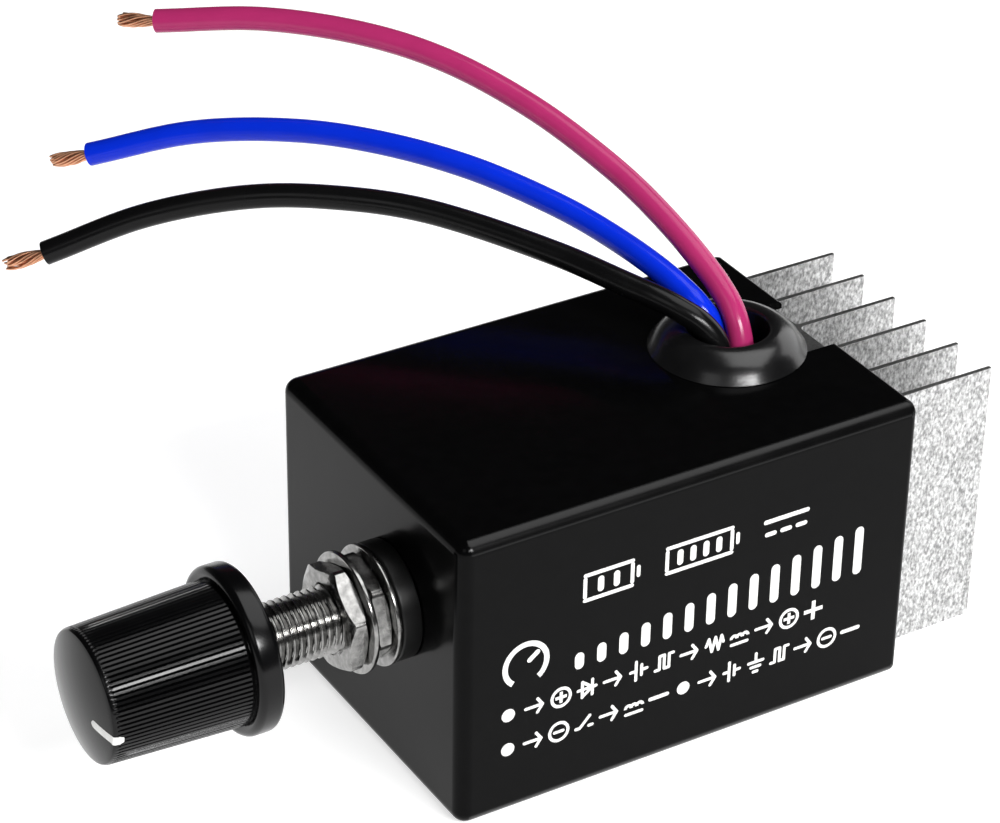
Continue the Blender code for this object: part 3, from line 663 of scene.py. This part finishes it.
# each symbol draws itself around a point (u, v) of the marked face
SYMBOLS = {
    "terminal": lambda bm, u, v: disc(bm, (u, v), 0.75),
    "arrow": lines([(-1.3, 0), (1.1, 0)], [(0.4, 0.8), (1.1, 0), (0.4, -0.8)]),
    "plus": lambda bm, u, v: plus(bm, (u, v), 2.3, 0.45),
    "minus": lambda bm, u, v: stroke(bm, (u - 1.0, v), (u + 1.0, v), 0.45),
    "ring_plus": ring_mark(True),
    "ring_minus": ring_mark(False),
    "diode": lines([(-0.7, 0.9), (-0.7, -0.9), (0.7, 0), (-0.7, 0.9)], [(0.75, 0.9), (0.75, -0.9)],
                   [(-1.3, 0), (1.3, 0)]),
    "cell": lines([(-1.2, 0), (-0.4, 0)], [(-0.4, 1.1), (-0.4, -1.1)], [(0.4, 0.6), (0.4, -0.6)],
                  [(0.4, 0), (1.2, 0)]),
    "pulse": lines([(-1.3, -0.8), (-0.7, -0.8), (-0.7, 0.8), (0.0, 0.8), (0.0, -0.8), (0.7, -0.8),
                    (0.7, 0.8), (1.3, 0.8)]),
    "resistor": lines([(-1.3, 0), (-0.9, 0.8), (-0.4, -0.8), (0.1, 0.8), (0.6, -0.8), (1.0, 0.8), (1.3, 0)]),
    "switch": lines([(-1.2, -0.5), (-0.6, -0.5), (0.8, 0.7)], [(0.7, -0.5), (1.2, -0.5)]),
    "ground": lines([(0, 1.1), (0, 0.1)], [(-1.1, 0.1), (1.1, 0.1)], [(-0.7, -0.5), (0.7, -0.5)],
                    [(-0.3, -1.1), (0.3, -1.1)]),
    "coil": coil,
}
# (height, pitch, symbols) of the wiring rows
WIRING_ROWS = (
    (12.0, 3.0, "terminal arrow ring_plus diode arrow cell pulse arrow resistor coil arrow ring_plus plus"),
    (7.9, 2.92, "terminal arrow ring_minus switch arrow coil minus terminal arrow cell ground pulse arrow "
                "ring_minus minus"),
)


def supply_signs(bm, row):
    """A small and a large battery, and the direct current sign."""
    battery(bm, 13.8, row, (5.4, 2.9), 2)
    battery(bm, 23.2, row, (7.6, 2.9), 4)
    stroke(bm, (34.8, row + 0.7), (39.8, row + 0.7), SIGN_LINE)
    for i in range(3):
        dash = 35.0 + 1.85 * i
        stroke(bm, (dash, row - 0.8), (dash + 0.9, row - 0.8), SIGN_LINE)


def speed_signs(bm, row):
    """A dial and a rising row of bars."""
    curve_stroke(bm, (7.3, row), 2.35, -52, 232, 0.6)
    stroke(bm, (7.7, row + 0.35), (8.6, row + 1.05), 0.55)
    foot = row - 2.2
    for i in range(BAR_COUNT):
        u = 13.4 + BAR_PITCH * i
        stroke(bm, (u, foot), (u, foot + 0.9 + BAR_RISE * i), BAR_WIDTH)


def make_marks():
    """Generic working marks: supply, speed range, and the two wiring rows."""
    bm = bmesh.new()
    supply_signs(bm, SUPPLY_ROW)
    speed_signs(bm, SPEED_ROW)
    for row, pitch, symbols in WIRING_ROWS:
        for i, symbol in enumerate(symbols.split()):
            SYMBOLS[symbol](bm, SYMBOL_START + pitch * i, row)
    return mesh_object("front_marks", bm)


place_piece(make_marks(), "case", "pointer_white")


# ---------------------------------------------------------------- heat sink
FIN_COUNT = 6
FIN_PITCH = 5.5
FIN_SHIFT = -0.5
FIN_ROOT = 0.32
FIN_TIP = 0.26
BASE_THICK = 3.0
ROOT_FILLET = 0.55
TIP_ROUND = 0.18
SCREW_HOLE = 1.7
DEVICE_Y = (-6.3, 5.6)
DEVICE_HOLE_Z = 21.4
DEVICE_HOLE_DEPTH = 2.4
SAWN_EDGE = 0.07


def fin_side():
    """(distance from the base, half thickness) along one side of a fin, from root to tip."""
    length = SINK_HIGH.x - SINK_LOW.x - BASE_THICK
    fillet = [math.radians(90 * i / 4) for i in range(5)]
    rounding = [math.radians(90 * i / 3) for i in range(4)]
    return ([(ROOT_FILLET * (1 - math.cos(a)), FIN_ROOT + ROOT_FILLET * (1 - math.sin(a))) for a in fillet]
            + [(length - TIP_ROUND * (1 - math.sin(a)), FIN_TIP - TIP_ROUND * (1 - math.cos(a)))
               for a in rounding])


def make_heat_sink():
    """The extrusion: a base plate with tapered fins, sawn to length and drilled."""
    low, high = SINK_LOW, SINK_HIGH
    root = low.x + BASE_THICK
    outline = [(low.x, low.y), (low.x, high.y), (root, high.y)]
    for k in reversed(range(FIN_COUNT)):
        y = (k - (FIN_COUNT - 1) / 2) * FIN_PITCH + FIN_SHIFT
        outline += [(root + x, y + half) for x, half in fin_side()]
        outline += [(root + x, y - half) for x, half in reversed(fin_side())]
    outline += [(root, low.y)]
    bm = bmesh.new()
    rows = [[bm.verts.new((x, y, z)) for x, y in outline] for z in (low.z, high.z)]
    bm.faces.new(rows[0])
    bm.faces.new(rows[1][::-1])
    count = len(outline)
    for i in range(count):
        j = (i + 1) % count
        bm.faces.new((rows[0][j], rows[0][i], rows[1][i], rows[1][j]))
    sink = mesh_object("finned_sink", bm)
    bm = bmesh.new()
    for y, z, _ in screw_places():
        add_rod(bm, "x", (y, z), low.x - CUT_SPARE, root + CUT_SPARE, SCREW_HOLE, 32)
    for y in DEVICE_Y:
        add_rod(bm, "x", (y, DEVICE_HOLE_Z), low.x - CUT_SPARE, low.x + DEVICE_HOLE_DEPTH, SCREW_HOLE, 32)
    combine(sink, bm)
    edge = sink.modifiers.new("edge", "BEVEL")
    edge.width = SAWN_EDGE * MM
    edge.segments = 2
    edge.limit_method = "ANGLE"
    edge.angle_limit = math.radians(60)
    bake(sink)
    even_normals(sink)
    return sink


def mark_sawn_ends(sink):
    """The sawn ends of the extrusion are brighter than its blasted sides."""
    sink.data.materials.append(LOOKS["sawn"])
    for face in sink.data.polygons:
        face.material_index = 1 if abs(face.normal.z) > 0.6 else 0


mark_sawn_ends(place_piece(make_heat_sink(), "case", "aluminium", "heat_sink"))


# ---------------------------------------------------------------- heat sink screws
HEAD_RADIUS = 2.1
HEAD_SIDE = 0.55
SHANK_RADIUS = 1.15
SHANK_TIP = (0.5, -8.3)
SHANK_STRAIGHT = -6.2
RECESS_HALF = 1.15
RECESS_WIDTH = 0.4


def make_screw(name, y, z, seat):
    """A pan-head screw whose cross-recessed head stands on the seat, its shank going in."""
    def at(radius, height, angle):
        return Vector((seat + height, y + radius * math.cos(angle), z + radius * math.sin(angle)))

    dome = [math.radians(90 * i / 9) for i in range(1, 10)]
    rise = HEAD_HEIGHT - HEAD_SIDE
    profile = [(0.0, HEAD_HEIGHT)]
    profile += [(HEAD_RADIUS * math.sin(a), HEAD_SIDE + rise * math.cos(a)) for a in dome]
    profile += [(HEAD_RADIUS, 0.12), (HEAD_RADIUS - 0.1, 0.0), (SHANK_RADIUS, 0.0),
                (SHANK_RADIUS, SHANK_STRAIGHT), SHANK_TIP, (0.0, SHANK_TIP[1] - 0.1)]
    made = turned(name, profile, 40, at)
    for half_y, half_z in ((RECESS_HALF, RECESS_WIDTH / 2), (RECESS_WIDTH / 2, RECESS_HALF)):
        bm = bmesh.new()
        add_block(bm, (seat + HEAD_SIDE, seat + HEAD_HEIGHT + CUT_SPARE), (y - half_y, y + half_y),
                  (z - half_z, z + half_z))
        combine(made, bm)
    made.data.shade_smooth()
    made.data.set_sharp_from_angle(angle=math.radians(CREASE))
    return made


for side, (y, z, seat) in zip(("left", "right"), screw_places()):
    place_piece(make_screw("sink_screw_" + side, y, z, seat), "case", "steel", "heat_sink_screw_" + side)


# ---------------------------------------------------------------- grommet
GROMMET_RADIUS = 8.2
GROMMET_NECK = 4.85
GROMMET_BORE = 4.15
GROMMET_LIP = 0.65
GROMMET_FLANGE = 1.2
# (radius, height above the housing) of the dome, from its crown down to its rim
GROMMET_DOME = ((5.1, 2.47), (5.5, 2.38), (6.1, 2.12), (6.7, 1.75), (7.2, 1.3), (7.6, 0.8), (7.95, 0.31),
                (GROMMET_RADIUS, -0.02))


def make_grommet():
    """The domed rubber collar round the leads, its neck gripping the notch."""
    def at(radius, height, angle):
        return Vector((GROMMET[0] + radius * math.cos(angle), GROMMET[1] + radius * math.sin(angle), height))

    top = HOUSE_HIGH.z + 0.1
    under = HOUSE_HIGH.z - WALL - 0.1
    flange = GROMMET_NECK + GROMMET_FLANGE
    profile = arc(GROMMET_BORE + GROMMET_LIP, top + 1.85, GROMMET_LIP, 180, 90, 8)
    profile += [(r, top + h) for r, h in GROMMET_DOME]
    profile += [(GROMMET_RADIUS - 0.3, top - 0.02), (GROMMET_NECK, top - 0.02), (GROMMET_NECK, under),
                (flange, under), (flange - 0.05, under - 0.6), (flange - 0.4, under - 1.15),
                (GROMMET_BORE + 0.2, under - 1.3), (GROMMET_BORE, under - 1.0)]
    return turned("rubber_grommet", profile, 96, at, 50.0)


place_piece(make_grommet(), "case", "rubber_grey", "cable_grommet")


# ---------------------------------------------------------------- bushing and its hardware
BUSHING_NOSE = 15.0
BUSHING_BORE = 2.5
SHAFT_RADIUS = 3.0
THREAD_MAJOR = 3.45
THREAD_DEPTH = 0.46
THREAD_PITCH = 0.75
THREAD_TURN_STEPS = 10
THREAD_SLOPE = 2.35
NOSE_CHAMFER = 0.5
NOSE_SLOPE = 1.1
PLATE_RADIUS = 8.1
PLATE_REAR = -3.0
PLATE_FRONT = -2.1
SPACER_INNER = 3.6
SPACER_OUTER = 6.1
SPACER = (0.05, 2.25)
WASHER_RADIUS = 6.2
WASHERS = {"inner": (2.3, 2.85), "outer": (4.85, 5.4)}
# (low, high, turn in degrees) of each nut
NUTS = {"inner": (2.9, 4.8, 12.0), "outer": (5.45, 7.35, 40.0)}
NUT_FLATS = 10.0


def thread_radius(height, angle):
    """The surface of the V-thread, faded out at the chamfered nose."""
    phase = (height / THREAD_PITCH - angle / TAU) % 1.0
    groove = min(1.0, abs(phase - 0.5) * THREAD_SLOPE)
    chamfer = THREAD_MAJOR - NOSE_CHAMFER + (BUSHING_NOSE - height) * NOSE_SLOPE
    return min(THREAD_MAJOR - THREAD_DEPTH * groove, chamfer)


def make_bushing():
    """The threaded bushing with the round plate behind the front wall."""
    steps = 96
    rings = []
    plate = ((BUSHING_BORE, PLATE_REAR), (PLATE_RADIUS - 0.2, PLATE_REAR), (PLATE_RADIUS, PLATE_REAR + 0.2),
             (PLATE_RADIUS, PLATE_FRONT - 0.15), (PLATE_RADIUS - 0.15, PLATE_FRONT),
             (THREAD_MAJOR, PLATE_FRONT), (THREAD_MAJOR, PLATE_FRONT + 0.4))
    for r, h in plate:
        rings.append([axial(r, h, TAU * i / steps) for i in range(steps)])
    fine = THREAD_PITCH / THREAD_TURN_STEPS
    first = PLATE_FRONT + 0.5
    for k in range(int((BUSHING_NOSE - first) / fine) + 1):
        h = min(BUSHING_NOSE, first + fine * k)
        rings.append([axial(thread_radius(h, TAU * i / steps), h, TAU * i / steps) for i in range(steps)])
    for r, h in ((BUSHING_BORE + 0.15, BUSHING_NOSE), (BUSHING_BORE, BUSHING_NOSE - 0.15)):
        rings.append([axial(r, h, TAU * i / steps) for i in range(steps)])
    bm = bmesh.new()
    skin(bm, rings, closed=True)
    return mesh_object("threaded_bushing", bm, 60.0)


def make_nut(name, low, high, turn):
    """A hexagon nut chamfered on both faces, with a countersunk bore; turn is in degrees."""
    steps = 144
    corner_start = NUT_FLATS / 2 + 0.05
    slope = math.tan(math.radians(30))
    middle = (low + high) / 2
    half = (high - low) / 2
    soft = 0.06

    def zone_ring(zone, side):
        """The points of a zone's edge on the front (1) or rear (-1) face."""
        points = []
        for i in range(steps):
            a = TAU * i / steps
            wall = NUT_FLATS / 2 / math.cos((a - math.radians(turn)) % (TAU / 6) - TAU / 12)
            wall = min(wall, NUT_FLATS / math.sqrt(3) - 0.12)
            drop = max(0.0, wall - corner_start) * slope
            r, h = {"bore": (THREAD_MAJOR - 0.1, half - 0.35),
                    "sink": (THREAD_MAJOR + 0.3, half),
                    "flat": (corner_start - 0.15, half),
                    "shoulder": (wall - soft, half - drop),
                    "wall": (wall, half - drop - soft)}[zone]
            points.append(axial(r, middle + side * h, a))
        return points

    zones = ("bore", "sink", "flat", "shoulder", "wall")
    rings = [zone_ring(zone, 1) for zone in zones] + [zone_ring(zone, -1) for zone in reversed(zones)]
    bm = bmesh.new()
    skin(bm, rings, closed=True)
    return mesh_object(name, bm, 25.0)


def make_washer(name, low, high):
    """A flat washer with its outer edge rolled over by the punch."""
    bore = THREAD_MAJOR + 0.05
    soft, crisp = 0.16, 0.08
    profile = [(bore, low), (bore, high - 0.05), (bore + 0.05, high)]
    profile += arc(WASHER_RADIUS - soft, high - soft, soft, 90, 0, 5)
    profile += arc(WASHER_RADIUS - crisp, low + crisp, crisp, 0, -90, 3)
    return turned(name, profile)


def make_spacer():
    """The black ring between the front wall and the hardware."""
    low, high = SPACER
    soft = 0.35
    profile = [(SPACER_INNER, low), (SPACER_INNER, high)]
    profile += arc(SPACER_OUTER - soft, high - soft, soft, 90, 0, 6)
    profile += [(SPACER_OUTER, low + 0.1), (SPACER_OUTER - 0.1, low)]
    return turned("spacer_ring", profile)


def make_shaft():
    """The brass shaft: full size in the knob, thinner in the bushing and thinnest in the rotor."""
    tip, seat, thin, tail = 29.6, 15.2, -4.2, -7.6
    profile = [(0.0, tip), (SHAFT_RADIUS - 0.4, tip), (SHAFT_RADIUS, tip - 0.4), (SHAFT_RADIUS, seat),
               (BUSHING_BORE - 0.1, seat), (BUSHING_BORE - 0.1, thin), (1.8, thin), (1.8, tail), (0.0, tail)]
    return turned("control_shaft", profile, 64)


place_piece(make_bushing(), "case", "nickel", "pot_bushing")
place_piece(make_spacer(), "case", "spacer_black", "panel_spacer")
for where in ("inner", "outer"):
    place_piece(make_washer("washer_" + where, *WASHERS[where]), "case", "nickel", "flat_washer_" + where)
    place_piece(make_nut("nut_" + where, *NUTS[where]), "case", "nickel", "bushing_nut_" + where)
place_piece(make_shaft(), "control", "brass", "pot_shaft")


# ---------------------------------------------------------------- knob
KNOB_REAR = 16.1
KNOB_RIM = 33.1
KNOB_DOME = 1.0
FACE_RADIUS = 6.6
BODY_RADIUS = 7.3
SKIRT_RADIUS = 8.5
SKIRT_FRONT = 18.8
KNOB_BORE = 3.15
KNOB_BOSS = 4.7
KNOB_SHELL = 6.6
KNOB_HOLLOW = 4.5
KNOB_TOP_WALL = 3.2
FLUTES = 88
FLUTE_DEPTH = 0.28
FLUTE_STEPS = 12
FLUTE_START = 0.03
# (share of the pitch, share of the depth) across one flute
FLUTE_SECTION = ((-0.25, 0.0), (0.0, 0.0), (0.25, 0.0), (0.5, 1.0))
POINTER_ANGLE = 187.5
POINTER_START = 3.4
POINTER_STEPS = 16
POINTER_WIDTH = 0.9
# (share of the half width, height) across the pointer line
POINTER_SECTION = ((-1, -0.2), (-1, 0.01), (-0.75, 0.035), (0, 0.045), (0.75, 0.035), (1, 0.01), (1, -0.2))
DOME_RADIUS = (FACE_RADIUS ** 2 + KNOB_DOME ** 2) / (2 * KNOB_DOME)


def dome_height(radius):
    """The height of the knob's domed face at a radius."""
    return KNOB_RIM + KNOB_DOME - DOME_RADIUS + math.sqrt(DOME_RADIUS ** 2 - radius ** 2)


def knob_profile():
    """(radius, height, flute share) from the middle of the face to the bottom of the bore."""
    profile = [(r, dome_height(r), 0.0) for r in (FACE_RADIUS * i / 14 for i in range(14))]
    profile += [(r, h, 0.0) for r, h in arc(FACE_RADIUS - 0.22, KNOB_RIM - 0.2, 0.25, 62, 15, 5)]
    front, rear = KNOB_RIM - 0.35, SKIRT_FRONT + 0.25
    narrow = FACE_RADIUS + 0.12
    along = [FLUTE_START + (1 - FLUTE_START) * i / FLUTE_STEPS for i in range(1, FLUTE_STEPS + 1)]
    for share in [0.0, 0.4 * FLUTE_START, FLUTE_START] + along:
        profile.append((narrow + (BODY_RADIUS - narrow) * share, front + (rear - front) * share,
                        min(1.0, share / FLUTE_START)))
    plain = [(BODY_RADIUS - 0.25, rear - 0.05), (BODY_RADIUS - 0.25, SKIRT_FRONT - 0.15)]
    plain += arc(SKIRT_RADIUS - 0.75, SKIRT_FRONT - 0.75, 0.75, 90, 0, 9)
    plain += arc(SKIRT_RADIUS - 0.6, KNOB_REAR + 0.6, 0.6, 0, -90, 7)
    ceiling = KNOB_REAR + KNOB_HOLLOW
    plain += [(KNOB_SHELL + 0.5, KNOB_REAR), (KNOB_SHELL, ceiling), (KNOB_BOSS, ceiling)]
    plain += [(KNOB_BOSS, KNOB_REAR + 0.5), (KNOB_BOSS - 0.1, KNOB_REAR + 0.4)]
    plain += [(KNOB_BORE + 0.1, KNOB_REAR + 0.4), (KNOB_BORE, KNOB_REAR + 0.5)]
    plain += [(KNOB_BORE, KNOB_RIM - KNOB_TOP_WALL), (0.0, KNOB_RIM - KNOB_TOP_WALL)]
    return profile + [(r, h, 0.0) for r, h in plain]


def make_knob():
    """The knob with its domed face, round skirt and V-shaped flutes between flat lands."""
    rings = []
    for r, h, flute in knob_profile():
        if r == 0.0:
            rings.append([axial(0.0, h, 0.0)])
            continue
        ring = []
        for i in range(FLUTES):
            for share, groove in FLUTE_SECTION:
                ring.append(axial(r - flute * FLUTE_DEPTH * groove, h, TAU * (i + share) / FLUTES))
        rings.append(ring)
    bm = bmesh.new()
    skin(bm, rings)
    return mesh_object("fluted_knob", bm, 40.0)


def make_pointer():
    """The white line let into the face, running out over the rim."""
    turn = math.radians(POINTER_ANGLE)
    along = Vector((0, math.cos(turn), math.sin(turn)))
    across = Vector((0, -math.sin(turn), math.cos(turn)))
    out = Vector((-1, 0, 0))
    reach = FACE_RADIUS - 0.3 - POINTER_START
    line = [(r, dome_height(r)) for r in (POINTER_START + reach * i / POINTER_STEPS
                                          for i in range(POINTER_STEPS + 1))]
    line += arc(FACE_RADIUS - 0.22, KNOB_RIM - 0.2, 0.33, 70, 0, 7)
    line += [(FACE_RADIUS + 0.17, KNOB_RIM - 0.55), (FACE_RADIUS + 0.19, KNOB_RIM - 0.95)]
    rings = []
    for i, (r, h) in enumerate(line):
        before, after = line[max(i - 1, 0)], line[min(i + 1, len(line) - 1)]
        slope = math.atan2(after[1] - before[1], after[0] - before[0])
        normal = along * -math.sin(slope) + out * math.cos(slope)
        rounding = min(1.0, (i + 0.4) / 2.0, (len(line) - i - 0.4) / 1.6)
        half = POINTER_WIDTH / 2 * math.sin(rounding * math.pi / 2)
        base = AXIS + along * r + out * h
        rings.append([base + across * (half * u) + normal * v for u, v in POINTER_SECTION])
    bm = bmesh.new()
    middle_first = sum(rings[0], Vector()) / len(rings[0])
    middle_last = sum(rings[-1], Vector()) / len(rings[-1])
    skin(bm, [[middle_first]] + rings + [[middle_last]])
    return mesh_object("pointer_line", bm, 40.0)


place_piece(make_knob(), "control", "knob_black", "knob")
place_piece(make_pointer(), "control", "pointer_white", "knob_pointer")


# ---------------------------------------------------------------- parts inside
# finish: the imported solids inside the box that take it
INSIDE = {
    "steel": ("pot_shaft_ring", "pot_case", "transistor_screw", "diode_screw"),
    "nylon_white": ("pot_wiper",),
    "phenolic": ("pot_track_board",),
    "tin": ("pot_terminal_1", "pot_terminal_2", "pot_terminal_3", "transistor_tab", "diode_tab"),
    "board_green": ("circuit_board",),
    "epoxy_black": ("transistor_body", "diode_body", "timer_chip", "small_transistor"),
    "pad_grey": ("transistor_pad", "diode_pad"),
    "sleeve_blue": ("supply_capacitor", "timing_capacitor"),
    "resistor_tan": ("resistor_1", "resistor_2", "resistor_3"),
    "ceramic_brown": ("ceramic_capacitor_1", "ceramic_capacitor_2"),
}
for slot, nodes in INSIDE.items():
    for node in nodes:
        shown = frame["nodes"][node]
        shown.data.materials.clear()
        shown.data.materials.append(LOOKS[slot])


# ---------------------------------------------------------------- floor, light
FLOOR_HALF = 3.0
FLOOR_GLOW = 0.68
LIGHT_AIM = (0.005, 0.0, 0.018)
# (place, size, power) of each soft light
LIGHTS = {
    "strip": ((0.01, -0.5, 0.36), (0.27, 0.1), 3.5),
    "overhead": ((0.22, -0.1, 0.62), (0.55, 0.45), 2.3),
    "left": ((-0.52, -0.36, 0.46), (0.3, 0.3), 0.35),
    "right": ((0.54, 0.1, 0.22), (0.42, 0.36), 1.0),
}
# (height on the sky, brightness) of the studio surround
SURROUND = ((0.02, 0.12), (0.34, 0.03))


def make_floor():
    """A plain pale floor."""
    bm = bmesh.new()
    bmesh.ops.create_grid(bm, x_segments=8, y_segments=8, size=FLOOR_HALF)
    data = bpy.data.meshes.new("floor")
    bm.to_mesh(data)
    bm.free()
    floor = add_object("floor", data)
    floor.data.materials.append(surface("pale_floor", (0.6, 0.6, 0.6), 0.9, mottle=0.01, mottle_size=80.0,
                                        swing=0.03, swing_size=60.0, relief=0.002, relief_size=2.0,
                                        Emission_Color=(1.0, 1.0, 1.0, 1.0), Emission_Strength=FLOOR_GLOW))


def area_light(name, place, size, power):
    """A soft rectangular light at a place, aimed at the object."""
    lamp = bpy.data.lights.new(name, "AREA")
    lamp.shape = "RECTANGLE"
    lamp.size, lamp.size_y = size
    lamp.energy = power
    holder = bpy.data.objects.new(name, lamp)
    holder.location = place
    holder.rotation_euler = (Vector(LIGHT_AIM) - Vector(place)).to_track_quat("-Z", "Y").to_euler()
    bpy.context.scene.collection.objects.link(holder)


def make_world():
    """A dim studio surround, a little lighter near the horizon."""
    world = bpy.data.worlds.new("studio")
    world.use_nodes = True
    tree = world.node_tree
    back = tree.nodes["Background"]
    place = tree.nodes.new("ShaderNodeTexCoord")
    split = tree.nodes.new("ShaderNodeSeparateXYZ")
    ramp = tree.nodes.new("ShaderNodeValToRGB")
    for stop, (height, bright) in zip(ramp.color_ramp.elements, SURROUND):
        stop.position = height
        stop.color = (bright, bright, bright, 1.0)
    tree.links.new(place.outputs["Generated"], split.inputs["Vector"])
    tree.links.new(split.outputs["Z"], ramp.inputs["Fac"])
    tree.links.new(ramp.outputs["Color"], back.inputs["Color"])
    back.inputs["Strength"].default_value = 1.0
    bpy.context.scene.world = world


make_floor()
make_world()
for lamp_name, (place, size, power) in LIGHTS.items():
    area_light(lamp_name, place, size, power)

bpy.context.scene.view_settings.view_transform = "Standard"
